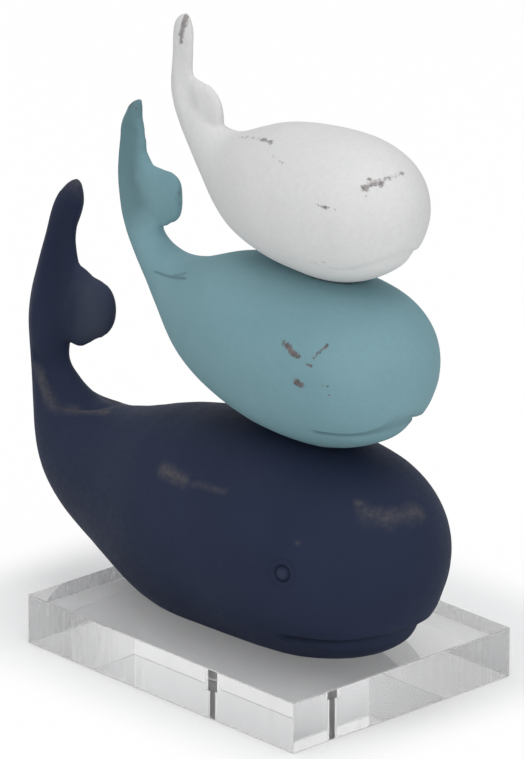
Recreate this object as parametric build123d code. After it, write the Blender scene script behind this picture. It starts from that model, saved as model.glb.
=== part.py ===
from build123d import *
import os
from math import cos, radians, sin

# A stack of three smooth resin whales, each smaller than the one below, on a clear acrylic block.
# Millimetres. X runs along the block towards the whales' noses, Z is up, and the origin is the
# middle of the block's underside. Every whale is the same on both sides of the plane Y = 0.

# Acrylic block
BASE_LENGTH = 150.0
BASE_DEPTH = 113.0
BASE_THICKNESS = 20.0
BASE_EDGE_CHAMFER = 0.3

# Socket head screw that holds the lowest whale down, from under the block
SCREW_DIAMETER = 4.0
SCREW_LENGTH = 30.0
SCREW_HEAD_DIAMETER = 7.0
SCREW_HEAD_HEIGHT = 4.0
SCREW_HEAD_CHAMFER = 0.3
SOCKET_ACROSS_FLATS = 3.0
SOCKET_DEPTH = 2.0
HEAD_RECESS = 0.6
HEAD_CLEARANCE = 0.3
SHANK_CLEARANCE = 0.25
SCREW_TIP_ROOM = 1.0

# Brass insert in the lowest whale's belly
INSERT_DIAMETER = 6.0
INSERT_LENGTH = 10.0
INSERT_RECESS = 0.5
INSERT_GROOVE_WIDTH = 1.2
INSERT_GROOVE_DEPTH = 0.4
INSERT_CLEARANCE = 0.05
THREAD_CLEARANCE = 0.05

# Navy whale, the lowest. The body's height is taken before its belly is cut flat.
NAVY_LENGTH = 220.0
NAVY_BODY_HEIGHT = 91.0
NAVY_BODY_WIDTH = 87.0
NAVY_TAIL_RISE = 113.5
NAVY_NOSE_REACH = 84.0
BELLY_CUT = 11.3

# Teal whale, in the middle
TEAL_LENGTH = 164.0
TEAL_BODY_HEIGHT = 68.0
TEAL_BODY_WIDTH = 65.0
TEAL_TAIL_RISE = 77.0
TEAL_NOSE_REACH = 81.0

# White whale, on top
WHITE_LENGTH = 130.5
WHITE_BODY_HEIGHT = 57.0
WHITE_BODY_WIDTH = 54.0
WHITE_TAIL_RISE = 56.0
WHITE_NOSE_REACH = 76.5

# Joints between the whales: a saddle cut in the upper one, a bed of filler and a steel dowel
SADDLE_DEPTH = 1.5
BED_THICKNESS = 0.6
PIN_DIAMETER = 5.0
PIN_LENGTH = 24.0
PIN_CHAMFER = 0.5
PIN_CLEARANCE = 0.05
PIN_END_ROOM = 0.5
LOWER_PIN_PLACE = 28.0
UPPER_PIN_PLACE = 36.0

CUT_OVERRUN = 1.0

# The head and chest, alike on every whale. Each row is one section: how far it lies behind the nose
# (share of the length), its middle above the body's middle (share of the body's height), its half
# height (share of the body's height) and its half width (share of the body's width).
HEAD_SHARES = (
    (0.010, 0.048, 0.150, 0.146),
    (0.039, 0.045, 0.268, 0.274),
    (0.098, 0.038, 0.390, 0.404),
    (0.200, 0.018, 0.482, 0.483),
    (0.364, 0.000, 0.500, 0.500),
)
NOSE_HEIGHT_SHARE = 0.048

# The tails. Each row is one section: how far behind the nose (share of the length), how high above
# the body's middle (share of the tail's rise), the lean of the section in degrees, its half depth
# (share of the body's height) and its half thickness (share of the body's width).
NAVY_TAIL_SHARES = (
    (0.537, -0.022, 2.7, 0.473, 0.466),
    (0.702, 0.011, 25.1, 0.375, 0.342),
    (0.875, 0.090, 46.3, 0.222, 0.201),
    (0.944, 0.275, 67.0, 0.112, 0.089),
    (0.939, 0.490, 81.0, 0.148, 0.080),
    (0.921, 0.790, 99.0, 0.072, 0.054),
    (0.888, 0.955, 107.0, 0.046, 0.040),
)
NAVY_TIP_SHARES = (0.877, 0.994)
TEAL_TAIL_SHARES = (
    (0.545, 0.015, 5.0, 0.450, 0.440),
    (0.686, 0.058, 19.5, 0.350, 0.320),
    (0.801, 0.117, 33.4, 0.206, 0.174),
    (0.915, 0.312, 66.0, 0.113, 0.089),
    (0.938, 0.546, 80.8, 0.155, 0.060),
    (0.962, 0.763, 91.5, 0.083, 0.045),
    (0.964, 0.953, 96.8, 0.036, 0.031),
)
TEAL_TIP_SHARES = (0.942, 0.985)
WHITE_TAIL_SHARES = (
    (0.550, -0.010, 3.0, 0.440, 0.435),
    (0.689, -0.001, 10.6, 0.329, 0.301),
    (0.797, 0.080, 30.5, 0.212, 0.165),
    (0.894, 0.251, 57.4, 0.144, 0.094),
    (0.951, 0.464, 74.5, 0.110, 0.070),
    (0.952, 0.720, 90.8, 0.089, 0.056),
    (0.948, 0.955, 92.0, 0.055, 0.033),
)
WHITE_TIP_SHARES = (0.935, 0.999)

# The forward lobe of each tail, by the same measures without the lean, and the end of the lobe.
NAVY_LOBE_SHARES = (
    (0.924, 0.568, 0.132, 0.060),
    (0.882, 0.540, 0.176, 0.058),
    (0.839, 0.549, 0.150, 0.055),
    (0.797, 0.565, 0.105, 0.040),
)
NAVY_LOBE_END_SHARES = (0.780, 0.571)
TEAL_LOBE_SHARES = (
    (0.940, 0.580, 0.139, 0.066),
    (0.900, 0.536, 0.137, 0.055),
    (0.850, 0.524, 0.150, 0.050),
    (0.818, 0.535, 0.126, 0.040),
)
TEAL_LOBE_END_SHARES = (0.803, 0.536)
WHITE_LOBE_SHARES = (
    (0.940, 0.425, 0.170, 0.066),
    (0.880, 0.376, 0.172, 0.060),
    (0.847, 0.362, 0.170, 0.055),
    (0.806, 0.322, 0.148, 0.042),
)
WHITE_LOBE_END_SHARES = (0.790, 0.268)

# The carved mouth, and the ring round the navy whale's eye: places by the measures of the head, and
# the width and depth of the groove as shares of the body's height.
MOUTH_SHARES = ((0.195, -0.262), (0.110, -0.262), (-0.010, -0.170))
GROOVE_WIDTH_SHARE = 0.012
GROOVE_DEPTH_SHARE = 0.012
EYE_PLACE_SHARES = (0.1545, 0.065)
EYE_RING_SHARE = 0.034

# Heights of the face under the screw's head that bears on the block, and of the screw's tip
SHOULDER_HEIGHT = HEAD_RECESS + SCREW_HEAD_HEIGHT
SCREW_TIP_HEIGHT = SHOULDER_HEIGHT + SCREW_LENGTH

os.makedirs("parts", exist_ok=True)


def oval(x, z, lean, half_depth, half_thickness):
    """A closed oval section across the whale, leaning back from upright by some degrees."""
    turn = radians(lean)
    across = Plane(origin=(x, 0, z), x_dir=(sin(turn), 0, cos(turn)), z_dir=(-cos(turn), 0, sin(turn)))
    quarters = []
    for start in (0, 90, 180, 270):
        quarters.append(EllipticalCenterArc((0, 0), half_depth, half_thickness, start, arc_size=90))
    return across * make_face(quarters)


def rod(diameter, bottom, top, x=0):
    """An upright round rod between two heights."""
    return Pos(x, 0, (bottom + top) / 2) * Cylinder(diameter / 2, top - bottom)


class Whale:
    """One whale, from its own sizes, its place and the shares of its tail."""

    def __init__(self, length, height, width, rise, nose, middle):
        self.length = length
        self.height = height
        self.width = width
        self.rise = rise
        self.nose = nose
        self.middle = middle

    def on_body(self, back_share, up_share):
        return self.nose - back_share * self.length, self.middle + up_share * self.height

    def on_tail(self, back_share, up_share):
        return self.nose - back_share * self.length, self.middle + up_share * self.rise

    def head_ovals(self, inset=0):
        ovals = []
        for back, up, deep, wide in HEAD_SHARES:
            x, z = self.on_body(back, up)
            ovals.append(oval(x - inset, z, 0, deep * self.height - inset, wide * self.width - inset))
        return ovals

    def nose_point(self, inset=0):
        x, z = self.on_body(0, NOSE_HEIGHT_SHARE)
        return Vertex(x - inset, 0, z)

    def solid(self, tail_shares, tip_shares, lobe_shares, lobe_end_shares):
        """The whole body and its tail, with the mouth carved in."""
        tail = []
        for back, up, lean, deep, wide in tail_shares:
            x, z = self.on_tail(back, up)
            tail.append(oval(x, z, lean, deep * self.height, wide * self.width))
        tip_x, tip_z = self.on_tail(*tip_shares)
        body = loft([self.nose_point()] + self.head_ovals() + tail + [Vertex(tip_x, 0, tip_z)])
        lobe = []
        for back, up, deep, wide in lobe_shares:
            x, z = self.on_tail(back, up)
            lobe.append(oval(x, z, 0, deep * self.height, wide * self.width))
        end_x, end_z = self.on_tail(*lobe_end_shares)
        body += loft(lobe + [Vertex(end_x, 0, end_z)])
        mouth = ThreePointArc(*(self.on_body(*share) for share in MOUTH_SHARES))
        return body - self.groove(trace(mouth, GROOVE_WIDTH_SHARE * self.height))

    def groove(self, outline):
        """A groove of even depth where an outline, seen from the side, meets the head."""
        depth = GROOVE_DEPTH_SHARE * self.height
        core = loft([self.nose_point(depth)] + self.head_ovals(depth))
        return extrude(Plane.XZ * outline, self.width, both=True) - core


def stack_whales():
    """The three whales' sizes and places, each one's middle set by the back that it sits on."""
    navy_middle = BASE_THICKNESS - BELLY_CUT + NAVY_BODY_HEIGHT / 2
    teal_middle = navy_middle + NAVY_BODY_HEIGHT / 2 - SADDLE_DEPTH + TEAL_BODY_HEIGHT / 2
    white_middle = teal_middle + TEAL_BODY_HEIGHT / 2 - SADDLE_DEPTH + WHITE_BODY_HEIGHT / 2
    navy_sizes = (NAVY_LENGTH, NAVY_BODY_HEIGHT, NAVY_BODY_WIDTH, NAVY_TAIL_RISE)
    teal_sizes = (TEAL_LENGTH, TEAL_BODY_HEIGHT, TEAL_BODY_WIDTH, TEAL_TAIL_RISE)
    white_sizes = (WHITE_LENGTH, WHITE_BODY_HEIGHT, WHITE_BODY_WIDTH, WHITE_TAIL_RISE)
    navy = Whale(*navy_sizes, NAVY_NOSE_REACH, navy_middle)
    teal = Whale(*teal_sizes, TEAL_NOSE_REACH, teal_middle)
    white = Whale(*white_sizes, WHITE_NOSE_REACH, white_middle)
    return navy, teal, white


def eye_ring(beast):
    """The two ring grooves round a whale's eyes."""
    ring = EYE_RING_SHARE * beast.height
    half_groove = GROOVE_WIDTH_SHARE * beast.height / 2
    place = Pos(*beast.on_body(*EYE_PLACE_SHARES))
    return beast.groove(place * (Circle(ring + half_groove) - Circle(ring - half_groove)))


def acrylic_base():
    """The clear block, with the hole for the screw and a deeper round pocket for its head."""
    block = Pos(0, 0, BASE_THICKNESS / 2) * Box(BASE_LENGTH, BASE_DEPTH, BASE_THICKNESS)
    block = chamfer(block.edges(), BASE_EDGE_CHAMFER)
    block -= rod(SCREW_DIAMETER + 2 * SHANK_CLEARANCE, -CUT_OVERRUN, BASE_THICKNESS + CUT_OVERRUN)
    return block - rod(SCREW_HEAD_DIAMETER + 2 * HEAD_CLEARANCE, -CUT_OVERRUN, SHOULDER_HEIGHT)


def base_screw():
    """The screw, head down, with its hexagon socket open to the underside."""
    head = rod(SCREW_HEAD_DIAMETER, HEAD_RECESS, SHOULDER_HEIGHT)
    head = chamfer(head.edges().group_by(Axis.Z)[0], SCREW_HEAD_CHAMFER)
    socket = RegularPolygon(SOCKET_ACROSS_FLATS / 2, 6, major_radius=False)
    head -= Pos(0, 0, HEAD_RECESS) * extrude(socket, SOCKET_DEPTH)
    shank = rod(SCREW_DIAMETER, SHOULDER_HEIGHT, SCREW_TIP_HEIGHT)
    return head + shank


def threaded_insert():
    """The brass insert: a barrel with a groove round its middle and a bore for the screw."""
    bottom = BASE_THICKNESS + INSERT_RECESS
    top = bottom + INSERT_LENGTH
    middle = (bottom + top) / 2
    half_groove = INSERT_GROOVE_WIDTH / 2
    barrel = rod(INSERT_DIAMETER, bottom, top)
    collar = rod(INSERT_DIAMETER + 2 * CUT_OVERRUN, middle - half_groove, middle + half_groove)
    collar -= rod(INSERT_DIAMETER - 2 * INSERT_GROOVE_DEPTH, bottom, top)
    bore = rod(SCREW_DIAMETER + 2 * THREAD_CLEARANCE, bottom - CUT_OVERRUN, top + CUT_OVERRUN)
    return barrel - collar - bore


def belly_cut(beast):
    """All that lies below the block's top, and the pocket for the insert and the screw's tip."""
    slab = Box(2 * beast.length, 2 * beast.width, 2 * BASE_THICKNESS)
    below = Pos(beast.nose - beast.length / 2, 0, 0) * slab
    pocket_top = BASE_THICKNESS + INSERT_RECESS + INSERT_LENGTH
    pocket = rod(INSERT_DIAMETER + 2 * INSERT_CLEARANCE, 0, pocket_top)
    hole_top = max(pocket_top, SCREW_TIP_HEIGHT) + SCREW_TIP_ROOM
    return below + pocket + rod(SCREW_DIAMETER + 2 * SHANK_CLEARANCE, 0, hole_top)


def dowel(x, height):
    """A steel dowel, half in each of two whales."""
    pin = rod(PIN_DIAMETER, height - PIN_LENGTH / 2, height + PIN_LENGTH / 2, x)
    return chamfer(pin.edges(), PIN_CHAMFER)


def dowel_hole(x, height):
    """The hole for a dowel, right through the joint between two whales."""
    reach = PIN_LENGTH / 2 + PIN_END_ROOM
    return rod(PIN_DIAMETER + 2 * PIN_CLEARANCE, height - reach, height + reach, x)


def ahead_of_tail(beast, lobe_end_shares):
    """The space in front of a whale's tail, where another whale can be bedded on its back."""
    rear, _ = beast.on_tail(*lobe_end_shares)
    space = Box(beast.length, 2 * beast.width, 4 * beast.rise)
    return Pos(rear + beast.length / 2, 0, beast.middle) * space


def seat(upper, lower, hole, space):
    """The upper whale cut to fit over the lower one, and the bed of filler on the lower one's back."""
    raised = Pos(0, 0, BED_THICKNESS) * lower
    bed = upper & raised & space
    return upper - raised - lower - hole, bed - lower - hole


navy, teal, white = stack_whales()
lower_joint = teal.middle - teal.height / 2
upper_joint = white.middle - white.height / 2
lower_hole = dowel_hole(LOWER_PIN_PLACE, lower_joint)
upper_hole = dowel_hole(UPPER_PIN_PLACE, upper_joint)
lower_space = ahead_of_tail(navy, NAVY_LOBE_END_SHARES)
upper_space = ahead_of_tail(teal, TEAL_LOBE_END_SHARES)

navy_body = navy.solid(NAVY_TAIL_SHARES, NAVY_TIP_SHARES, NAVY_LOBE_SHARES, NAVY_LOBE_END_SHARES)
navy_body -= eye_ring(navy)
teal_body = teal.solid(TEAL_TAIL_SHARES, TEAL_TIP_SHARES, TEAL_LOBE_SHARES, TEAL_LOBE_END_SHARES)
white_body = white.solid(WHITE_TAIL_SHARES, WHITE_TIP_SHARES, WHITE_LOBE_SHARES, WHITE_LOBE_END_SHARES)
white_body, upper_bed = seat(white_body, teal_body, upper_hole, upper_space)
teal_body, lower_bed = seat(teal_body, navy_body, lower_hole, lower_space)

pieces = {
    "acrylic_base": acrylic_base(),
    "base_screw": base_screw(),
    "threaded_insert": threaded_insert(),
    "navy_whale": navy_body - belly_cut(navy) - lower_hole,
    "lower_pin": dowel(LOWER_PIN_PLACE, lower_joint),
    "lower_glue_bed": lower_bed,
    "teal_whale": teal_body - upper_hole,
    "upper_pin": dowel(UPPER_PIN_PLACE, upper_joint),
    "upper_glue_bed": upper_bed,
    "white_whale": white_body,
}
for name, piece in pieces.items():
    export_step(piece, f"parts/{name}.step")
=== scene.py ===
# %% [markdown]
# # Three whales on a clear block
# The ornament is a stack of three smooth whales, navy, teal and white, each cast in resin and
# painted by hand, on a clear acrylic block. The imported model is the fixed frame: every piece below
# is made round it, in metres, with X towards the noses and Z up.

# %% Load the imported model
import math

import bpy
import numpy as np
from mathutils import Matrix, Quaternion, Vector


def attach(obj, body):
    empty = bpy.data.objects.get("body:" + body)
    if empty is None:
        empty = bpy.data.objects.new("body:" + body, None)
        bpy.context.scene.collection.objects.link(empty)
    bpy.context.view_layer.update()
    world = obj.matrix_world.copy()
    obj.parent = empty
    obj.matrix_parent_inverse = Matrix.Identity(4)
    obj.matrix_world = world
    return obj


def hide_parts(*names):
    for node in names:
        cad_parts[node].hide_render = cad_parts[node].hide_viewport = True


MM = 0.001
CLEAR_BOUNCES = 20
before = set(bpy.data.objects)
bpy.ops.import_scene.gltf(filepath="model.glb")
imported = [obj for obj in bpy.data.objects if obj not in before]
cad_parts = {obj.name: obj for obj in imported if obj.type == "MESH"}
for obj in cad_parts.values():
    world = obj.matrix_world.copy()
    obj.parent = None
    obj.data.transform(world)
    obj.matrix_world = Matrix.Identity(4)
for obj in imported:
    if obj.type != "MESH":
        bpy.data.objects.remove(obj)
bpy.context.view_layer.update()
bpy.ops.object.select_all(action="DESELECT")
scene = bpy.context.scene
scene.view_settings.view_transform = "Standard"
scene.cycles.max_bounces = CLEAR_BOUNCES
scene.cycles.glossy_bounces = CLEAR_BOUNCES
scene.cycles.transmission_bounces = CLEAR_BOUNCES

# %% [markdown]
# ## Camera
# The block's corners in the picture show a long lens from far away, a little above the object and
# over the whales' right shoulder. The optical axis goes through the middle of the stack, so a
# camera that aims there needs no shift. The tiny roll is the slope of the block in the picture.

# %% Camera
CAMERA_PLACE = Vector((1.96795, -1.83298, 1.08991))
CAMERA_AIM = Vector((0.0, -0.00343, 0.11506))
CAMERA_ROLL = 0.00307
LENS = 358.2

bpy.ops.object.camera_add(location=CAMERA_PLACE)
camera = bpy.context.active_object
look = (CAMERA_AIM - CAMERA_PLACE).to_track_quat("-Z", "Y")
camera.rotation_euler = (look @ Quaternion((0, 0, 1), CAMERA_ROLL)).to_euler()
camera.data.lens = LENS
camera.data.clip_end = 50
scene.camera = camera
print("camera is", round((CAMERA_AIM - CAMERA_PLACE).length, 3), "m away")

# %% [markdown]
# ## Floor and light
# The picture is a plain white studio shot. The floor is white paper. Far from the object, what the
# camera sees of it is a plain white of strength 1, and towards the object more and more of it is the
# lit paper itself, so that the soft shadow shows, and the clear block has real paper under it. A pale
# sky gives the even light, and two large soft lamps, one overhead and one in front, give the shapes
# their gentle shading.

# %% Floor
FLOOR_HALF = 4.0
FLOOR_GAP = 0.0003
SHADE_HALF = {"X": 0.0975, "Y": 0.0790}
SHADE_MIDDLE = {"X": -0.0225, "Y": 0.0225}
SHADOW_REACH = 0.035
WHITE_UNDER = 0.17
WHITE_FAR = 0.97


def new_tree(name):
    """A new material and an empty node tree with its output."""
    material = bpy.data.materials.new(name)
    material.use_nodes = True
    tree = material.node_tree
    tree.nodes.clear()
    return material, tree, tree.nodes.new("ShaderNodeOutputMaterial")


def add(tree, kind, **values):
    """Adds a node. A value that is an output socket of another node is linked, others are set."""
    made = tree.nodes.new("ShaderNode" + kind)
    for name, value in values.items():
        socket = made.inputs[name.replace("_", " ")]
        if isinstance(value, bpy.types.NodeSocket):
            tree.links.new(value, socket)
        else:
            socket.default_value = value
    return made


def opaque(colour):
    return (*colour, 1)


def ramp(tree, factor, low, high, colours):
    """A colour ramp from one colour to another between two values."""
    made = add(tree, "ValToRGB", Fac=factor)
    made.color_ramp.elements[0].position = low
    made.color_ramp.elements[1].position = high
    made.color_ramp.elements[0].color = opaque(colours[0])
    made.color_ramp.elements[1].color = opaque(colours[1])
    return made.outputs["Color"]


def stretch(tree, value, low, high, to_low, to_high, smooth=False):
    """Maps a number from one range to another."""
    made = tree.nodes.new("ShaderNodeMapRange")
    made.interpolation_type = "SMOOTHSTEP" if smooth else "LINEAR"
    tree.links.new(value, made.inputs["Value"])
    for socket, number in (("From Min", low), ("From Max", high), ("To Min", to_low), ("To Max", to_high)):
        made.inputs[socket].default_value = number
    return made.outputs["Result"]


def combine(tree, operation, first, second):
    """One arithmetic step on two numbers."""
    made = tree.nodes.new("ShaderNodeMath")
    made.operation = operation
    for socket, value in zip(made.inputs, (first, second)):
        if isinstance(value, bpy.types.NodeSocket):
            tree.links.new(value, socket)
        else:
            socket.default_value = value
    return made.outputs[0]


def blend(tree, factor, first, second, kind="MIX"):
    """Mixes two colours."""
    made = tree.nodes.new("ShaderNodeMix")
    made.data_type = "RGBA"
    made.blend_type = kind
    for socket, value in zip((made.inputs[0], made.inputs[6], made.inputs[7]), (factor, first, second)):
        if isinstance(value, bpy.types.NodeSocket):
            tree.links.new(value, socket)
        else:
            socket.default_value = value
    return made.outputs[2]


def seen_directly(tree):
    """1 for what the camera sees, straight or in metal and clear acrylic, 0 for light that bounces."""
    path = add(tree, "LightPath")
    total = path.outputs["Is Camera Ray"]
    for kind in ("Is Glossy Ray", "Is Transmission Ray"):
        plus = tree.nodes.new("ShaderNodeMath")
        plus.use_clamp = True
        tree.links.new(total, plus.inputs[0])
        tree.links.new(path.outputs[kind], plus.inputs[1])
        total = plus.outputs[0]
    return total


def floor_paper():
    material, tree, output = new_tree("floor_paper")
    here = add(tree, "SeparateXYZ", Vector=add(tree, "TexCoord").outputs["Object"])
    beyond = []
    for axis, half in SHADE_HALF.items():
        off = combine(tree, "SUBTRACT", here.outputs[axis], SHADE_MIDDLE[axis])
        beyond.append(combine(tree, "SUBTRACT", combine(tree, "ABSOLUTE", off, 0.0), half))
    away = combine(tree, "MAXIMUM", *beyond)
    white = stretch(tree, away, 0.0, SHADOW_REACH, WHITE_UNDER, WHITE_FAR, True)
    share = combine(tree, "MULTIPLY", seen_directly(tree), white)
    paper = add(tree, "BsdfDiffuse", Color=(0.92, 0.92, 0.92, 1))
    white = add(tree, "Emission", Color=(1, 1, 1, 1), Strength=1.0)
    mix = add(tree, "MixShader", Fac=share)
    tree.links.new(paper.outputs[0], mix.inputs[1])
    tree.links.new(white.outputs[0], mix.inputs[2])
    tree.links.new(mix.outputs[0], output.inputs["Surface"])
    return material


bpy.ops.mesh.primitive_plane_add(size=2 * FLOOR_HALF, location=(0, 0, -FLOOR_GAP))
floor = bpy.context.active_object
floor.name = "floor"
floor.data.materials.append(floor_paper())
print("floor is", 2 * FLOOR_HALF, "m wide")

# %% Light
SKY_STRENGTH = 0.62
LAMPS = {
    "overhead": {"place": (0.2, -0.3, 1.7), "size": 1.6, "power": 13.0},
    "front": {"place": (1.9, -0.9, 0.8), "size": 1.2, "power": 11.0},
}


def studio_sky():
    world = bpy.data.worlds.new("studio")
    world.use_nodes = True
    tree = world.node_tree
    tree.nodes.clear()
    soft = add(tree, "Background", Color=(0.98, 0.99, 1.0, 1), Strength=SKY_STRENGTH)
    white = add(tree, "Background", Color=(1, 1, 1, 1), Strength=1.0)
    mix = add(tree, "MixShader", Fac=seen_directly(tree))
    tree.links.new(soft.outputs[0], mix.inputs[1])
    tree.links.new(white.outputs[0], mix.inputs[2])
    tree.links.new(mix.outputs[0], tree.nodes.new("ShaderNodeOutputWorld").inputs["Surface"])
    return world


scene.world = studio_sky()
for name, lamp in LAMPS.items():
    bpy.ops.object.light_add(type="AREA", location=lamp["place"])
    light = bpy.context.active_object
    light.name = name
    light.data.size = lamp["size"]
    light.data.energy = lamp["power"]
    away = Vector(lamp["place"]) - CAMERA_AIM
    light.rotation_euler = away.to_track_quat("Z", "Y").to_euler()
    print(name, "lamp at", lamp["place"])

# %% [markdown]
# ## Clay for the whales
# A whale like these is carved in clay, then cast. Its CAD solid has the right form but machine-made
# edges where the tail's lobe joins on. So each whale starts as a copy of its solid: the loose
# triangles are merged, remeshed into one even skin and smoothed, which softens the joins as a thumb
# does. Where fine carving comes, the skin is first healed flat and then subdivided, so that a groove
# a millimetre wide has enough points.

# %% Clay
WHALES = {
    "navy": {"node": "navy_whale", "nose": 84.0, "middle": 54.2, "length": 220.0, "height": 91.0, "grain": 1.06},
    "teal": {"node": "teal_whale", "nose": 81.0, "middle": 132.2, "length": 164.0, "height": 68.0, "grain": 0.84},
    "white": {"node": "white_whale", "nose": 76.5, "middle": 193.2, "length": 130.5, "height": 57.0, "grain": 0.63},
}


def only(piece):
    """Makes one object the only selected and active one."""
    bpy.ops.object.select_all(action="DESELECT")
    piece.select_set(True)
    bpy.context.view_layer.objects.active = piece


def finish_modifier(piece, kind, **settings):
    """Adds one modifier, sets it and applies it."""
    only(piece)
    bpy.ops.object.modifier_add(type=kind)
    modifier = piece.modifiers[-1]
    for name, value in settings.items():
        setattr(modifier, name, value)
    bpy.ops.object.modifier_apply(modifier=modifier.name)


def clay_copy(node, name, grain, smoothing):
    """A copy of a CAD node as one even skin of small quads."""
    piece = bpy.data.objects.new(name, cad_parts[node].data.copy())
    scene.collection.objects.link(piece)
    only(piece)
    bpy.ops.object.mode_set(mode="EDIT")
    bpy.ops.mesh.select_all(action="SELECT")
    bpy.ops.mesh.remove_doubles(threshold=0.002 * MM)
    bpy.ops.object.mode_set(mode="OBJECT")
    finish_modifier(piece, "REMESH", mode="VOXEL", voxel_size=grain * MM, adaptivity=0)
    finish_modifier(piece, "SMOOTH", factor=0.5, iterations=smoothing)
    piece.data.materials.clear()
    only(piece)
    bpy.ops.object.shade_smooth()
    return piece


def read_points(piece):
    """The places of a piece's points in millimetres, and their directions outwards."""
    count = len(piece.data.vertices)
    places = np.empty(count * 3)
    outwards = np.empty(count * 3)
    piece.data.vertices.foreach_get("co", places)
    piece.data.vertices.foreach_get("normal", outwards)
    return places.reshape(-1, 3) / MM, outwards.reshape(-1, 3)


def write_points(piece, places):
    piece.data.vertices.foreach_set("co", (places * MM).ravel())
    piece.data.update()


for whale in WHALES.values():
    whale["piece"] = clay_copy(whale["node"], whale["node"] + "_cast", whale["grain"], 10)
    print(whale["piece"].name, len(whale["piece"].data.polygons), "faces")

# %% [markdown]
# ## Carving tools
# A carver works with few tools, and so does this lesson. A stroke follows a line drawn on the side
# of the whale, presses in or raises the skin beside it, and fades at its ends. Seen from the side
# a line marks both flanks at once, as the whales are alike left and right.

# %% Carving tools
def soft_line(corners, rounds=3):
    """A line through some corners with each corner cut off a few times, so that it runs smoothly."""
    line = np.array(corners, float)
    for _ in range(rounds):
        near = 0.75 * line[:-1] + 0.25 * line[1:]
        far = 0.25 * line[:-1] + 0.75 * line[1:]
        middle = np.stack([near, far], 1).reshape(-1, line.shape[1])
        line = np.concatenate([line[:1], middle, line[-1:]])
    return line


def beside(points, line, reach):
    """How far each point is from a line, and how far along it, from 0 to 1, for points within the reach."""
    close = np.flatnonzero(np.all((points > line.min(0) - reach) & (points < line.max(0) + reach), axis=1))
    steps = np.linalg.norm(np.diff(line, axis=0), axis=1)
    nearest = np.full(len(points), np.inf)
    along = np.zeros(len(points))
    done = 0.0
    for start, end, step in zip(line[:-1], line[1:], steps):
        off = points[close] - start
        share = np.clip(off @ (end - start) / step**2, 0, 1)
        away = np.linalg.norm(off - share[:, None] * (end - start), axis=1)
        closer = away < nearest[close]
        nearest[close[closer]] = away[closer]
        along[close[closer]] = (done + share[closer] * step) / steps.sum()
        done += step
    return nearest, along


def left_of(points, line, reach):
    """How far each point within the reach lies to the left of a line on the side view, negative to its right."""
    close = np.flatnonzero(np.all((points > line.min(0) - reach) & (points < line.max(0) + reach), axis=1))
    nearest = np.full(len(points), np.inf)
    signed = np.full(len(points), -np.inf)
    for start, end in zip(line[:-1], line[1:]):
        run = end - start
        off = points[close] - start
        share = np.clip(off @ run / (run @ run), 0, 1)
        away = np.linalg.norm(off - share[:, None] * run, axis=1)
        closer = away < nearest[close]
        side = np.sign(run[0] * off[closer, 1] - run[1] * off[closer, 0])
        nearest[close[closer]] = away[closer]
        signed[close[closer]] = away[closer] * side
    return signed


def bell(away, reach):
    """1 on the line, falling smoothly to 0 at the reach."""
    inside = np.clip(1 - (away / reach) ** 2, 0, 1)
    return inside**2


def rise(value, low, high):
    """0 below low and 1 above high, with a smooth step between."""
    share = np.clip((value - low) / (high - low), 0, 1)
    return share * share * (3 - 2 * share)


def ends(along, fade_in, fade_out):
    """Fades a stroke in over its first share and out over its last."""
    return rise(along, 0, fade_in) * rise(1 - along, 0, fade_out)


def side_view(places):
    return places[:, [0, 2]]


def stroke(piece, corners, reach, depth, fade_in=0.15, fade_out=0.15):
    """Presses a groove into both flanks, or raises a ridge where the depth is negative."""
    places, outwards = read_points(piece)
    away, along = beside(side_view(places), soft_line(corners), reach)
    amount = depth * bell(away, reach) * ends(along, fade_in, fade_out)
    write_points(piece, places - outwards * amount[:, None])


def select_near(piece, corners, reach):
    """Selects the faces whose middle lies near a line, seen from the side."""
    only(piece)
    middles = np.empty(len(piece.data.polygons) * 3)
    piece.data.polygons.foreach_get("center", middles)
    away, _ = beside(side_view(middles.reshape(-1, 3) / MM), soft_line(corners), reach)
    bpy.ops.object.mode_set(mode="EDIT")
    bpy.ops.mesh.select_mode(type="FACE")
    bpy.ops.mesh.select_all(action="DESELECT")
    bpy.ops.object.mode_set(mode="OBJECT")
    piece.data.polygons.foreach_set("select", away < reach)
    bpy.ops.object.mode_set(mode="EDIT")


def heal(piece, corners, reach, rounds):
    """Smooths the skin near a line."""
    away, _ = beside(side_view(read_points(piece)[0]), soft_line(corners), reach)
    group = piece.vertex_groups.new(name="heal")
    group.add(np.flatnonzero(away < reach).tolist(), 1.0, "REPLACE")
    finish_modifier(piece, "SMOOTH", factor=0.5, iterations=rounds, vertex_group="heal")
    piece.vertex_groups.remove(piece.vertex_groups["heal"])


def refine(piece, corners, reach, cuts):
    """Splits the faces near a line into smaller ones."""
    select_near(piece, corners, reach)
    bpy.ops.mesh.subdivide(number_cuts=cuts, smoothness=0)
    bpy.ops.object.mode_set(mode="OBJECT")


def pull(piece, row, reach):
    """Pulls the skin along a row of places, each with its own short move, all seen from the side."""
    places, _ = read_points(piece)
    corners = np.array([at for at, _ in row], float)
    moves = np.array([move for _, move in row])
    away, along = beside(side_view(places), corners, reach)
    steps = np.linalg.norm(np.diff(corners, axis=0), axis=1)
    stations = np.concatenate([[0], np.cumsum(steps)]) / steps.sum()
    share = bell(away, reach)
    places[:, 0] += share * np.interp(along, stations, moves[:, 0])
    places[:, 2] += share * np.interp(along, stations, moves[:, 1])
    write_points(piece, places)


print("carving tools are ready")
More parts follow.
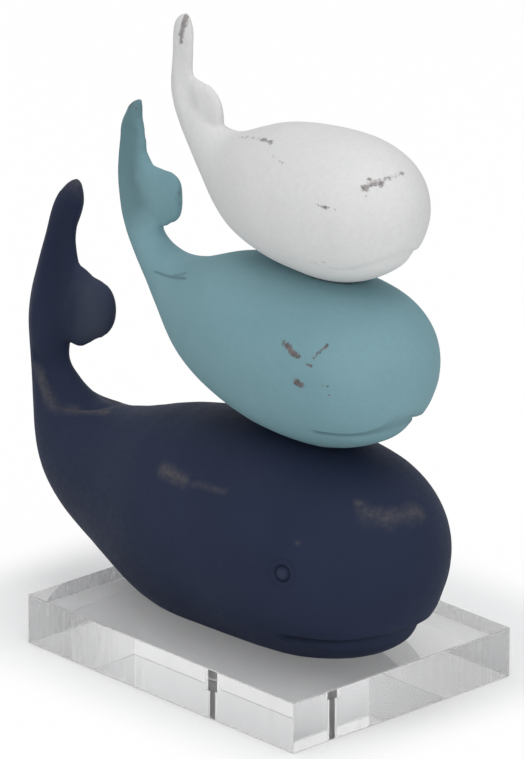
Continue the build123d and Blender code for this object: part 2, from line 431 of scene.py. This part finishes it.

# %% [markdown]
# ## Outline
# With the picture beside the clay, the outline is corrected. The blade of the navy tail is a
# little wider and the back behind it fuller, and the teal tail leans forward at its tip and has a
# rounder notch under its lobe. The join between the white tail and its lobe is rubbed smooth.

# %% Outline
PULLS = (
    {"whale": "navy", "part": "front of the blade", "reach": 8.0, "row": (
        ((-110.5, 166), (0.9, 1.5)), ((-106, 163.5), (0.9, 0.6)), ((-109.5, 154.5), (2.0, 0.5)),
        ((-112.5, 150), (3.2, 0.8)), ((-113, 137.5), (3.2, 0.8)), ((-112, 133), (3.0, 1.4)),
        ((-107.5, 131), (2.0, 1.2)), ((-101, 129), (0.0, 0.0)),
    )},
    {"whale": "navy", "part": "under the lobe", "reach": 5.0, "row": (
        ((-112, 101), (-0.3, -1.8)), ((-106.5, 101), (0.2, -1.5)), ((-99, 102), (0.0, 0.0)),
    )},
    {"whale": "navy", "part": "front of the root", "reach": 9.0, "row": (
        ((-115, 97), (0.3, 0.0)), ((-114, 93), (1.4, 0.2)), ((-112, 88), (2.7, 1.1)),
        ((-105.5, 84), (2.1, 1.6)), ((-97, 82), (0.6, 1.0)),
    )},
    {"whale": "navy", "part": "back", "reach": 20.0, "row": (
        ((-100, 82), (0.0, 0.4)), ((-88, 81), (0.0, 1.6)), ((-78, 81.5), (0.0, 2.5)), ((-68, 83.5), (0.0, 3.0)),
        ((-58, 86), (0.0, 2.8)), ((-48, 89), (0.0, 1.8)), ((-38, 93), (0.0, 0.4)), ((-28, 96), (0.0, 0.0)),
    )},
    {"whale": "teal", "part": "back of the blade", "reach": 7.0, "row": (
        ((-76, 208), (1.0, 0.6)), ((-82, 202), (2.0, 0.3)), ((-83, 196), (0.0, 0.0)), ((-83.5, 186), (-1.2, 0.0)),
        ((-83.5, 169), (-1.2, 0.0)), ((-80.5, 162), (-1.6, -0.3)), ((-77.5, 154.5), (-1.6, -0.3)),
        ((-74.5, 147), (-1.2, -0.2)), ((-67, 134), (0.0, 0.0)),
    )},
    {"whale": "teal", "part": "front of the blade", "reach": 6.0, "row": (
        ((-74.5, 207), (2.0, 0.5)), ((-74, 204), (2.5, 0.6)), ((-74, 196), (3.4, 0.8)), ((-72, 192), (2.4, 0.6)),
        ((-69, 189), (0.3, 0.1)), ((-64, 182.5), (-0.2, 1.2)), ((-58.5, 182.5), (-0.2, 1.0)),
        ((-53.5, 182.5), (0.6, 1.4)), ((-51, 180.5), (1.4, 1.2)), ((-50, 173.5), (1.4, 0.3)),
        ((-51, 168.5), (1.4, -1.0)), ((-55, 164), (1.2, -0.4)),
    )},
    {"whale": "teal", "part": "notch", "reach": 6.0, "row": (
        ((-61, 162), (2.4, -1.8)), ((-59, 159), (1.5, -1.5)), ((-53.5, 157), (-0.8, -1.0)),
        ((-46, 154), (-0.8, -0.3)), ((-38, 153), (0.0, 0.0)),
    )},
)
WHITE_JOIN = ((-45, 231), (-43, 224), (-38, 214))

for job in PULLS:
    piece = WHALES[job["whale"]]["piece"]
    pull(piece, job["row"], job["reach"])
    heal(piece, [at for at, _ in job["row"]], job["reach"], 8)
    print(job["whale"], "outline,", job["part"] + ":", len(job["row"]), "places")
heal(WHALES["white"]["piece"], WHITE_JOIN, 7.0, 45)

# %% [markdown]
# ## Mouths
# Each whale has a long quiet mouth. At its back it is a fine groove, and towards the nose the upper
# lip stands proud of the jaw, so that the groove turns into a soft step. The navy whale's is the
# deepest, and the white one's hardly shows under its paint. The mouth cut into the CAD solid is
# smoothed away first, and the new one is drawn on the side view beside it.

# %% Mouths
MOUTH_SHARES = ((0.205, -0.256), (0.165, -0.263), (0.120, -0.264), (0.075, -0.248), (0.035, -0.217), (-0.010, -0.170))
# The last number of each mouth darkens the paint along its groove as painted shade.
MOUTHS = {
    "navy": {
        "line": ((41, 31.0), (50, 31.6), (59, 31.9), (67, 32.5), (75, 34.4), (86, 38.0)),
        "groove": 1.9, "step": 1.3, "lip": 0.8, "jaw": 1.5, "painted_shading_and_scratches": 1.0,
    },
    "teal": {
        "line": ((47.5, 112.4), (54, 112.4), (61, 112.5), (67, 113.6), (72.5, 116.2), (76.5, 120), (81, 124.5)),
        "groove": 1.4, "step": 0.8, "lip": 0.4, "jaw": 0.7, "painted_shading_and_scratches": 0.8,
    },
    "white": {
        "line": ((52, 176.5), (57, 176.6), (62, 177.9), (68, 180.8), (73, 183.7), (77, 186.5)),
        "groove": 0.15, "step": 0.6, "lip": 0.15, "jaw": 0.3, "painted_shading_and_scratches": 0.12,
    },
}


def on_whale(whale, shares):
    """Places in millimetres, seen from the side, from shares of a whale's length and height."""
    return [(whale["nose"] - back * whale["length"], whale["middle"] + up * whale["height"]) for back, up in shares]


def carve_mouth(whale, cut):
    piece = whale["piece"]
    size = whale["height"] / WHALES["navy"]["height"]
    line = cut["line"]
    heal(piece, on_whale(whale, MOUTH_SHARES), 5 * size, 16)
    refine(piece, line, 5 * size, 2)
    places, outwards = read_points(piece)
    flat = side_view(places)
    drawn = soft_line(line)
    order = np.argsort(drawn[:, 0])
    above = flat[:, 1] - np.interp(flat[:, 0], drawn[order, 0], drawn[order, 1])
    back = (whale["nose"] - flat[:, 0]) / whale["length"]
    front = rise(-back, -0.150, -0.060) * (places[:, 2] > whale["middle"] - 0.45 * whale["height"])
    step = cut["step"] * rise(-above, -0.2 * size, 0.9 * size) * rise(above, -7.5 * size, -1.4 * size)
    lip = cut["lip"] * rise(above, -0.6 * size, 0.8 * size) * rise(-above, -11 * size, -1 * size)
    jaw = cut["jaw"] * rise(above, -14 * size, -9 * size) * rise(-above, 1 * size, 6 * size)
    places += outwards * ((lip - step + jaw) * front)[:, None]
    away, along = beside(flat, drawn, 1.7 * size)
    groove = cut["groove"] * bell(away, 1.7 * size) * ends(along, 0.10, 0.60)
    write_points(piece, places - outwards * groove[:, None])


for name, cut in MOUTHS.items():
    carve_mouth(WHALES[name], cut)
    print(name, "mouth carved")

# %% [markdown]
# ## Eyes of the navy whale
# Only the largest whale has eyes: on each side a ring pressed in with the end of a tube, the clay
# inside it a low dome, and a faint wider ring that the tube's collar left.

# %% Eyes
EYE_PLACE = (50.0, 60.1)
EYE_RING = 3.0
EYE_COLLAR = 5.6

navy = WHALES["navy"]["piece"]
heal(navy, (EYE_PLACE, EYE_PLACE + np.array((0.01, 0))), 6.0, 30)
refine(navy, (EYE_PLACE, EYE_PLACE + np.array((0.01, 0))), 7.5, 2)
places, outwards = read_points(navy)
from_eye = np.linalg.norm(side_view(places) - EYE_PLACE, axis=1)
ring = 0.85 * bell(from_eye - EYE_RING, 0.75)
collar = 0.18 * bell(from_eye - EYE_COLLAR, 0.8)
dome = 0.25 * bell(from_eye, EYE_RING)
write_points(navy, places + outwards * (dome - ring - collar)[:, None])
print("eye rings", 2 * EYE_RING, "mm across")

# %% [markdown]
# ## Tails
# The tails stand upright and are thin, with a rounded lobe in front. A shallow valley runs down the
# middle of each flank from the tip, between a raised rim at the back and the lobe. On the navy whale
# the valley ends in a scooped hollow, whose lower edge is a clear crease, like a thumb mark. A scoop
# is pressed in on one side of its line only, so that the line itself stays sharp.

# %% Tails
TAIL_STROKES = {
    "navy": (
        {"line": ((-108, 158), (-113, 144), (-116, 128), (-117, 109), (-115, 93), (-109, 84)), "reach": 8.5, "depth": 1.8},
        {"line": ((-102, 130), (-106, 117), (-107, 104)), "reach": 5.0, "depth": 0.6},
        {"line": ((-111, 162), (-120, 144), (-127, 118), (-130, 96)), "reach": 4.0, "depth": -0.5},
    ),
    "teal": (
        {"line": ((-74, 200), (-76, 190), (-76, 180), (-73, 170), (-67, 162)), "reach": 6.5, "depth": 1.3},
        {"line": ((-78, 202), (-82, 190), (-82, 176), (-78, 164)), "reach": 3.0, "depth": -0.35},
    ),
    "white": (
        {"line": ((-46, 242), (-47, 232), (-44, 220), (-38, 210)), "reach": 5.0, "depth": 0.7},
    ),
}
SCOOP_LINE = ((-131, 97), (-127, 88), (-118, 79), (-110, 75.5), (-100, 76.5), (-86, 79.5), (-74, 83))
SCOOP_DEPTH = 1.7
SCOOP_EDGE = 1.6
SCOOP_REACH = 17.0


def scoop(piece, corners):
    """Presses in the skin to the left of a line, deepest at the line and fading away from it."""
    refine(piece, corners, 3.0, 1)
    places, outwards = read_points(piece)
    drawn = soft_line(corners)
    signed = left_of(side_view(places), drawn, SCOOP_REACH)
    _, along = beside(side_view(places), drawn, SCOOP_REACH)
    amount = SCOOP_DEPTH * rise(signed, 0, SCOOP_EDGE) * rise(-signed, -SCOOP_REACH, -SCOOP_EDGE)
    write_points(piece, places - outwards * (amount * ends(along, 0.2, 0.3))[:, None])


for name, strokes in TAIL_STROKES.items():
    for cut in strokes:
        stroke(WHALES[name]["piece"], cut["line"], cut["reach"], cut["depth"])
    print(name, "tail:", len(strokes), "strokes")
scoop(navy, SCOOP_LINE)

# %% [markdown]
# ## Hand-made skin
# A cast from clay is never quite even. A cloud texture moves the skin in and out by a few tenths of
# a millimetre, in soft swells as wide as a thumb, so that the light rolls over it unevenly. The navy
# whale's flat belly then keeps a hair of air over the block, because acrylic that looks wet by
# the paint would mirror it as black shapes in its side faces.

# %% Hand-made skin
SWELL_WIDTH = 22.0
SWELL = 0.5
BLOCK_TOP = 20.0
BELLY_GAP = 0.25

cloud = bpy.data.textures.new("thumb_swells", type="CLOUDS")
cloud.noise_scale = SWELL_WIDTH * MM
for whale in WHALES.values():
    finish_modifier(whale["piece"], "DISPLACE", texture=cloud, texture_coords="LOCAL", strength=SWELL * MM, mid_level=0.6)
places, _ = read_points(navy)
places[:, 2] = np.maximum(places[:, 2], BLOCK_TOP + BELLY_GAP)
write_points(navy, places)
print("navy belly is", BELLY_GAP, "mm clear of the block")

# %% [markdown]
# ## Wear, painted shade and painted highlight
# The paint is rubbed and chipped on purpose. Each mark is a stroke on the skin in three dimensions,
# kept as one number per point: high in the middle of the mark, fading to 0. The paint's nodes then
# cut that soft number with a strong noise, which breaks a chip up into flecks with ragged edges. A
# second number holds painted shading and the scratches: above 0 it darkens the paint, as painted
# shade in the mouths' grooves, the navy eyes' rings and the navy tail's valley and scoop, as a darker
# band over the teal and white tails, and as dark paint in the teal whale's scratches; below 0 it is
# painted highlight, lighter paint on the navy tail's lobe and rims and on the eyes' domes.

# %% Wear
WEAR_SPREAD = 1.7
WEAR = {
    "navy": (
        {"line": ((-126, -7, 87), (-117, -9, 78), (-109, -11, 75), (-102, -9, 77)), "reach": 3.2, "strength": 0.75},
        {"line": ((-104, -10, 76.5), (-93, -8, 78.5), (-86, -6, 79.6)), "reach": 2.6, "strength": 0.8},
        {"line": ((-24, -33.2, 80), (-17, -34.2, 80), (-9, -35, 79.6)), "reach": 3.6, "strength": 0.80},
        {"line": ((-4, -35.3, 80), (6, -35.4, 80.8), (14, -35.2, 81.6)), "reach": 2.2, "strength": 0.62},
        {"line": ((69.5, -15.4, 84), (74.7, -10.5, 81), (76.2, -3.7, 81.4), (76.5, 5.3, 80.7)), "reach": 5.0, "strength": 0.66},
        {"line": ((66.1, -15.8, 86.8), (66.5, -15.5, 86.6)), "reach": 2.2, "strength": 0.85},
        {"line": ((54.1, -35.7, 72.6), (54.4, -35.6, 72.5)), "reach": 1.7, "strength": 0.7},
        {"line": ((-108, 0, 168), (-110, 0, 164)), "reach": 6.0, "strength": 0.62},
        {"line": ((-30, 33, 78), (-8, 36, 76), (6, 36, 79)), "reach": 4.5, "strength": 0.6},
        {"line": ((-112, 10, 76), (-98, 8.5, 78), (-86, 6, 80)), "reach": 3.0, "strength": 0.72},
        {"line": ((60, 30, 75), (66, 25, 72)), "reach": 3.5, "strength": 0.6},
    ),
    "teal": (
        {"line": ((39.5, -29.6, 147), (43.5, -30, 145.2), (47.8, -29.9, 143.6)), "reach": 1.6, "strength": 0.95},
        {"line": ((55, -28.4, 144.6), (58.5, -25.3, 149.6)), "reach": 0.95, "strength": 0.9},
        {"line": ((52.6, -29.8, 141.6), (54.2, -29.5, 141.2)), "reach": 0.9, "strength": 1.0},
        {"line": ((49.2, -31.2, 133.9), (50.8, -31, 133.1)), "reach": 1.7, "strength": 1.0},
        {"line": ((59.7, -28.6, 134.7), (59.9, -28.5, 134.7)), "reach": 0.6, "strength": 0.8},
        {"line": ((61.6, -27.9, 134.6), (61.8, -27.8, 134.6)), "reach": 0.5, "strength": 0.8},
        {"line": ((60.0, -28.4, 131.1), (60.2, -28.3, 131.0)), "reach": 0.6, "strength": 0.85},
        {"line": ((61.9, -27.6, 131.1), (62.3, -27.4, 131.6)), "reach": 0.6, "strength": 0.9},
        {"line": ((-50.0, -0.6, 177), (-49.8, -0.6, 173)), "reach": 2.0, "strength": 0.55},
        {"line": ((-74, 0, 209), (-75, 0, 206)), "reach": 4.0, "strength": 0.5},
        {"line": ((38, 30, 144), (46, 30.5, 140), (50, 30, 137)), "reach": 1.8, "strength": 0.9},
    ),
    "white": (
        {"line": ((65.5, -13.6, 210), (68.6, -8.3, 211.3)), "reach": 1.7, "strength": 1.0},
        {"line": ((67.5, -10, 211), (69, -3, 212.2), (69, 2.5, 213)), "reach": 1.1, "strength": 0.9},
        {"line": ((65.3, -11.3, 212.9), (65.7, -11, 212.9)), "reach": 0.8, "strength": 0.8},
        {"line": ((67.3, -14.7, 207.5), (67.6, -14.4, 207.4)), "reach": 0.7, "strength": 0.8},
        {"line": ((51.2, -24.6, 202.7), (55.6, -23.8, 202.4), (59.6, -22.5, 202.4)), "reach": 0.8, "strength": 0.55},
        {"line": ((55.4, -23.8, 202.4), (56, -23.7, 202.3)), "reach": 0.7, "strength": 0.9},
        {"line": ((48.1, -26.3, 195.7), (48.4, -26.2, 195.7)), "reach": 0.8, "strength": 0.6},
        {"line": ((-24, -4.2, 207.2), (-12, -6.7, 209.1), (1.6, -10.4, 213.5), (16, -14, 215.8)), "reach": 1.1, "strength": 0.55},
        {"line": ((9.4, -12.5, 215.1), (16.8, -14.3, 215.7)), "reach": 1.3, "strength": 0.85},
        {"line": ((-45.5, -0.8, 247.5), (-45.7, -2.1, 243.8), (-46.9, -2.6, 237)), "reach": 1.3, "strength": 0.9},
        {"line": ((21.2, -18.5, 213), (28.6, -20.2, 212.1)), "reach": 0.9, "strength": 0.5},
        {"line": ((43.2, -22, 177.4), (52.9, -21, 179.3)), "reach": 1.5, "strength": 0.36},
        {"line": ((58, 20, 206), (63, 16, 208)), "reach": 1.7, "strength": 0.9},
        {"line": ((10, 13, 214.6), (20, 16, 214.4)), "reach": 1.2, "strength": 0.7},
    ),
}


def keep_number(piece, name, values):
    """Keeps one number per point with the mesh, for the paint's nodes to read."""
    kept = piece.data.attributes.new(name, "FLOAT", "POINT")
    kept.data.foreach_set("value", values.astype(np.float32))


def paint_wear(piece, marks):
    places, _ = read_points(piece)
    wear = np.zeros(len(places))
    for mark in marks:
        reach = WEAR_SPREAD * mark["reach"]
        away, _ = beside(places, soft_line(mark["line"], 2), reach)
        fade = np.clip(1 - away / reach, 0, 1)
        wear = np.maximum(wear, mark["strength"] * fade)
    keep_number(piece, "wear", wear)
    return int((wear > 0.3).sum())


for name, marks in WEAR.items():
    worn = paint_wear(WHALES[name]["piece"], marks)
    print(name, "wear:", len(marks), "marks,", worn, "points well worn")

# %% Painted shade, painted highlight and scratches
# Painted shading: bands above 0 darken the paint, and bands below 0 lighten it.
PAINTED_SHADING_AND_SCRATCHES = {
    "navy": (
        # Painted shade down the navy tail's valley and along its scoop.
        {"line": ((-108, 160), (-115, 142), (-118, 118), (-114, 92)), "reach": 9.0, "strength": 0.30},
        {"line": ((-125, 93), (-114, 82), (-98, 83)), "reach": 7.0, "strength": 0.22},
        # Painted highlight on the navy tail's lobe, on its rims and on the eye's dome.
        {"line": ((-98, 126), (-94, 118), (-97, 106)), "reach": 14.0, "strength": -0.62},
        {"line": ((-104, 160), (-108, 146), (-106, 132)), "reach": 5.0, "strength": -0.35},
        {"line": ((-131, 126), (-133, 108), (-131, 92)), "reach": 4.0, "strength": -0.35},
        {"line": (EYE_PLACE, (50.1, 60.1)), "reach": 2.6, "strength": -0.40},
    ),
    "teal": (
        # A darker band over the teal tail's valley, then the dark paint in two scratches.
        {"line": ((-75, 206), (-79, 192), (-78, 178), (-73, 168)), "reach": 14.0, "strength": 0.75},
        {"line": ((-54.4, 145.7), (-49, 145.9), (-42, 146.9), (-31, 150)), "reach": 0.8, "strength": 0.85},
        {"line": ((-43, 147), (-38.5, 148.7), (-34, 150.9)), "reach": 0.7, "strength": 0.65},
    ),
    "white": (
        {"line": ((-46, 246), (-47, 230), (-42, 214)), "reach": 9.0, "strength": 0.05},
    ),
}
SCRATCHES = PAINTED_SHADING_AND_SCRATCHES["teal"][1:]


def paint_shading_and_scratches(name):
    whale = WHALES[name]
    size = whale["height"] / WHALES["navy"]["height"]
    flat = side_view(read_points(whale["piece"])[0])
    # Painted shade along the mouth's groove.
    away, along = beside(flat, soft_line(MOUTHS[name]["line"]), 2.0 * size)
    painted_shading_and_scratches = MOUTHS[name]["painted_shading_and_scratches"] * bell(away, 2.0 * size) * ends(along, 0.08, 0.60)
    painted_highlight = np.zeros(len(flat))
    for band in PAINTED_SHADING_AND_SCRATCHES[name]:
        away, _ = beside(flat, soft_line(band["line"]), band["reach"])
        amount = band["strength"] * bell(away, band["reach"])
        painted_shading_and_scratches = np.maximum(painted_shading_and_scratches, amount)
        painted_highlight = np.minimum(painted_highlight, amount)
    if name == "navy":
        # Painted shade in the eye's ring and in the collar's ring.
        from_eye = np.linalg.norm(flat - EYE_PLACE, axis=1)
        painted_shading_and_scratches = np.maximum(painted_shading_and_scratches, 0.9 * bell(from_eye - EYE_RING, 0.8))
        painted_shading_and_scratches = np.maximum(painted_shading_and_scratches, 0.25 * bell(from_eye - EYE_COLLAR, 0.9))
    painted_shading_and_scratches += painted_highlight
    keep_number(whale["piece"], "painted_shading_and_scratches", painted_shading_and_scratches)
    return int((painted_shading_and_scratches > 0.1).sum())


for scratch in SCRATCHES:
    refine(WHALES["teal"]["piece"], scratch["line"], 1.3, 2)
    stroke(WHALES["teal"]["piece"], scratch["line"], scratch["reach"], 0.2)
for name in WHALES:
    print(name, "wash on", paint_shading_and_scratches(name), "points")

# %% [markdown]
# ## Paint
# The three paints are one recipe in three colours: a matt coat with cloudy patches and a fine grain,
# worn through to the darker undercoat where the wear number is high. The shading number darkens the
# coat as painted shade and lightens it as painted highlight. A little bump lets the grain and the
# edges of the chips catch the light.

# %% Paint
# The last colour of each paint is its painted highlight, for raised forms that catch the light.
PAINTS = {
    "navy": {
        "tones": ((0.0150, 0.0215, 0.0460), (0.0185, 0.0255, 0.0530)),
        "under": ((0.062, 0.061, 0.070), (0.105, 0.096, 0.094)),
        "cut": (0.16, 1.20), "noise": 0.22, "bite": 130.0, "rough": 0.70,
        "painted_highlight": (0.048, 0.056, 0.084),
    },
    "teal": {
        "tones": ((0.167, 0.297, 0.333), (0.190, 0.324, 0.362)),
        "under": ((0.085, 0.086, 0.092), (0.175, 0.145, 0.145)),
        "cut": (0.36, 0.74), "noise": 0.46, "bite": 330.0, "rough": 0.72,
        "painted_highlight": (0.24, 0.37, 0.40),
    },
    "white": {
        "tones": ((0.615, 0.615, 0.610), (0.655, 0.655, 0.650)),
        "under": ((0.190, 0.175, 0.175), (0.360, 0.335, 0.330)),
        "cut": (0.36, 0.78), "noise": 0.50, "bite": 330.0, "rough": 0.74,
        "painted_highlight": (0.70, 0.70, 0.70),
    },
}
# How far the painted shade, and the dark paint in the scratches, darkens the coat.
PAINTED_SHADE_AND_SCRATCH_SHARE = 0.55


def kept_number(tree, name):
    """Reads a number that was kept with the mesh."""
    made = tree.nodes.new("ShaderNodeAttribute")
    made.attribute_name = name
    return made.outputs["Fac"]


def worn_paint(name, recipe):
    material, tree, output = new_tree(name)
    here = add(tree, "TexCoord").outputs["Object"]
    patches = add(tree, "TexNoise", Vector=here, Scale=30.0, Detail=4.0, Roughness=0.55)
    grain = add(tree, "TexNoise", Vector=here, Scale=520.0, Detail=3.0, Roughness=0.6)
    ragged = add(tree, "TexNoise", Vector=here, Scale=recipe["bite"], Detail=7.0, Roughness=0.72)
    tint = add(tree, "TexNoise", Vector=here, Scale=650.0, Detail=4.0)
    coat = ramp(tree, patches.outputs["Fac"], 0.32, 0.70, recipe["tones"])
    speckle = ramp(tree, grain.outputs["Fac"], 0.30, 0.72, ((0.965, 0.965, 0.965), (1.025, 1.025, 1.025)))
    coat = blend(tree, 1.0, coat, speckle, "MULTIPLY")
    painted_shading_and_scratches = kept_number(tree, "painted_shading_and_scratches")
    shade_and_scratch_share = stretch(tree, painted_shading_and_scratches, 0.0, 1.0, 0.0, PAINTED_SHADE_AND_SCRATCH_SHARE)
    # Painted shade: above 0 the number darkens the coat towards a quarter of its tone, which also gives the dark paint
    # in the scratches.
    coat = blend(tree, shade_and_scratch_share, coat, opaque([0.25 * tone for tone in recipe["tones"][0]]))
    # Painted highlight: below 0 the number lightens the coat towards the highlight colour.
    coat = blend(tree, stretch(tree, painted_shading_and_scratches, 0.0, -1.0, 0.0, 1.0), coat, opaque(recipe["painted_highlight"]))
    wear = kept_number(tree, "wear")
    noise = stretch(tree, ragged.outputs["Fac"], 0.28, 0.72, -recipe["noise"], recipe["noise"])
    bitten = combine(tree, "ADD", wear, combine(tree, "MULTIPLY", noise, stretch(tree, wear, 0.0, 0.25, 0.0, 1.0)))
    bare = stretch(tree, bitten, recipe["cut"][0], recipe["cut"][1], 0.0, 1.0, True)
    under = ramp(tree, tint.outputs["Fac"], 0.35, 0.65, recipe["under"])
    colour = blend(tree, bare, coat, under)
    depth = combine(tree, "SUBTRACT", combine(tree, "MULTIPLY", grain.outputs["Fac"], 0.25), bare)
    bump = add(tree, "Bump", Strength=0.22, Distance=0.0003, Height=depth)
    rough = stretch(tree, grain.outputs["Fac"], 0.3, 0.7, recipe["rough"] - 0.06, recipe["rough"] + 0.08)
    skin = add(tree, "BsdfPrincipled", Base_Color=colour, Roughness=rough, Normal=bump.outputs["Normal"])
    skin.inputs["Specular IOR Level"].default_value = 0.12
    tree.links.new(skin.outputs[0], output.inputs["Surface"])
    return material


for name, recipe in PAINTS.items():
    whale = WHALES[name]
    whale["piece"].data.materials.append(worn_paint(name + "_paint_worn", recipe))
    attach(whale["piece"], "root")
    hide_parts(whale["node"])
    print(name, "painted")

# %% [markdown]
# ## Filler between the whales
# Each whale is bedded on the one below in a little dark filler, which squeezed out to an uneven line
# round the joint. The bed is a copy of its solid, remeshed, swollen a little past its edge and made
# lumpy with a cloud texture.

# %% Filler
FILLER_SWELL = 0.45
FILLER_LUMPS = 0.9

lumps = bpy.data.textures.new("filler_lumps", type="CLOUDS")
lumps.noise_scale = 2.2 * MM


def squeezed_filler(node):
    piece = clay_copy(node, node + "_squeezed", 0.3, 2)
    places, outwards = read_points(piece)
    write_points(piece, places + outwards * FILLER_SWELL)
    finish_modifier(piece, "DISPLACE", texture=lumps, texture_coords="LOCAL", strength=FILLER_LUMPS * MM, mid_level=0.5)
    return piece


def filler_paste():
    material, tree, output = new_tree("filler_paste")
    here = add(tree, "TexCoord").outputs["Object"]
    grit = add(tree, "TexNoise", Vector=here, Scale=700.0, Detail=5.0)
    colour = ramp(tree, grit.outputs["Fac"], 0.3, 0.7, ((0.020, 0.026, 0.034), (0.055, 0.066, 0.075)))
    bump = add(tree, "Bump", Strength=0.5, Distance=0.0003, Height=grit.outputs["Fac"])
    paste = add(tree, "BsdfPrincipled", Base_Color=colour, Roughness=0.8, Normal=bump.outputs["Normal"])
    tree.links.new(paste.outputs[0], output.inputs["Surface"])
    return material


paste = filler_paste()
for node in ("lower_glue_bed", "upper_glue_bed"):
    bed = squeezed_filler(node)
    bed.data.materials.append(paste)
    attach(bed, "root")
    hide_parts(node)
    print(bed.name, len(bed.data.polygons), "faces")

# %% [markdown]
# ## Clear block
# The block is cast acrylic, sawn from sheet: polished on top, below and on the two sides towards the
# picture, which keep faint upright marks of the saw away from their common corner. The two sides at
# the back are taken as left satin from the saw, which gives the pale even grey that shows through
# the front ones. The broken edges are satin too. The block keeps its CAD mesh and gets a clear shader.

# %% Clear block
CLEAR = (0.898, 0.900, 0.902)
CORNER = (0.075, -0.0565, 0.010)
FAR_SIDE = 0.0564
REAR_SIDE = -0.0749
SATIN = 0.85
EDGE_SATIN = 0.5
SAW_BUMP = 0.35
SAW_ROUGH = 0.16
SCUFF = 0.18


def clear_acrylic():
    material, tree, output = new_tree("clear_acrylic_sawn")
    coordinates = add(tree, "TexCoord")
    here = coordinates.outputs["Object"]
    drawn = tree.nodes.new("ShaderNodeMapping")
    drawn.inputs["Scale"].default_value = (1.0, 1.0, 0.05)
    tree.links.new(here, drawn.inputs["Vector"])
    saw = add(tree, "TexNoise", Vector=drawn.outputs["Vector"], Scale=300.0, Detail=3.0, Roughness=0.6)
    patch = add(tree, "TexNoise", Vector=here, Scale=60.0, Detail=2.0)
    level = combine(tree, "ABSOLUTE", add(tree, "SeparateXYZ", Vector=coordinates.outputs["Normal"]).outputs["Z"], 0.0)
    side = combine(tree, "LESS_THAN", level, 0.2)
    edge = combine(tree, "MULTIPLY", combine(tree, "GREATER_THAN", level, 0.2), combine(tree, "LESS_THAN", level, 0.9))
    at = add(tree, "SeparateXYZ", Vector=here)
    far = combine(tree, "GREATER_THAN", at.outputs["Y"], FAR_SIDE)
    rear = combine(tree, "LESS_THAN", at.outputs["X"], REAR_SIDE)
    satin = combine(tree, "MULTIPLY", side, combine(tree, "MAXIMUM", far, rear))
    away = tree.nodes.new("ShaderNodeVectorMath")
    away.operation = "DISTANCE"
    away.inputs[1].default_value = CORNER
    tree.links.new(here, away.inputs[0])
    marked = combine(tree, "MULTIPLY", side, stretch(tree, away.outputs["Value"], 0.07, 0.125, 0.05, 1.0, True))
    marked = combine(tree, "MULTIPLY", marked, stretch(tree, patch.outputs["Fac"], 0.38, 0.62, 0.15, 1.0, True))
    bump = add(tree, "Bump", Strength=SAW_BUMP, Distance=0.0003, Height=combine(tree, "MULTIPLY", saw.outputs["Fac"], marked))
    rough = combine(tree, "MULTIPLY", stretch(tree, saw.outputs["Fac"], 0.50, 0.70, 0.0, SAW_ROUGH, True), marked)
    rough = combine(tree, "MAXIMUM", rough, combine(tree, "MULTIPLY", satin, SATIN))
    rough = combine(tree, "MAXIMUM", rough, combine(tree, "MULTIPLY", edge, EDGE_SATIN))
    scuffed = combine(tree, "MULTIPLY", marked, stretch(tree, saw.outputs["Fac"], 0.50, 0.66, 0.0, SCUFF, True))
    clear = add(tree, "BsdfPrincipled", Base_Color=opaque(CLEAR), Roughness=rough, Normal=bump.outputs["Normal"])
    tree.links.new(combine(tree, "SUBTRACT", 1.0, scuffed), clear.inputs["Transmission Weight"])
    clear.inputs["IOR"].default_value = 1.49
    tree.links.new(clear.outputs[0], output.inputs["Surface"])
    return material


def dress(node, material):
    """Gives a CAD node a finished material."""
    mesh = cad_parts[node].data
    mesh.materials.clear()
    mesh.materials.append(material)


dress("acrylic_base", clear_acrylic())
print("block is clear")

# %% [markdown]
# ## Metal inside
# The screw shows through the block, grey steel with a little oil in its threads. The brass insert and
# the two dowels are hidden in the whales, and get their metals all the same.

# %% Metal
METALS = {
    "base_screw": {"tones": ((0.10, 0.10, 0.10), (0.22, 0.22, 0.21)), "rough": 0.38},
    "threaded_insert": {"tones": ((0.52, 0.36, 0.14), (0.62, 0.45, 0.20)), "rough": 0.32},
    "lower_pin": {"tones": ((0.42, 0.42, 0.43), (0.52, 0.52, 0.53)), "rough": 0.30},
    "upper_pin": {"tones": ((0.42, 0.42, 0.43), (0.52, 0.52, 0.53)), "rough": 0.30},
}


def turned_metal(name, tones, rough):
    material, tree, output = new_tree(name)
    here = add(tree, "TexCoord").outputs["Object"]
    stain = add(tree, "TexNoise", Vector=here, Scale=300.0, Detail=4.0)
    lathe = tree.nodes.new("ShaderNodeTexWave")
    lathe.bands_direction = "Z"
    lathe.inputs["Scale"].default_value = 450.0
    tree.links.new(here, lathe.inputs["Vector"])
    colour = ramp(tree, stain.outputs["Fac"], 0.3, 0.7, tones)
    bump = add(tree, "Bump", Strength=0.4, Distance=0.0002, Height=lathe.outputs["Fac"])
    metal = add(tree, "BsdfPrincipled", Base_Color=colour, Metallic=1.0, Normal=bump.outputs["Normal"])
    spread = stretch(tree, stain.outputs["Fac"], 0.3, 0.7, rough - 0.06, rough + 0.10)
    tree.links.new(spread, metal.inputs["Roughness"])
    tree.links.new(metal.outputs[0], output.inputs["Surface"])
    return material


for node, metal in METALS.items():
    dress(node, turned_metal(node + "_metal", metal["tones"], metal["rough"]))
    print(node, "is metal")
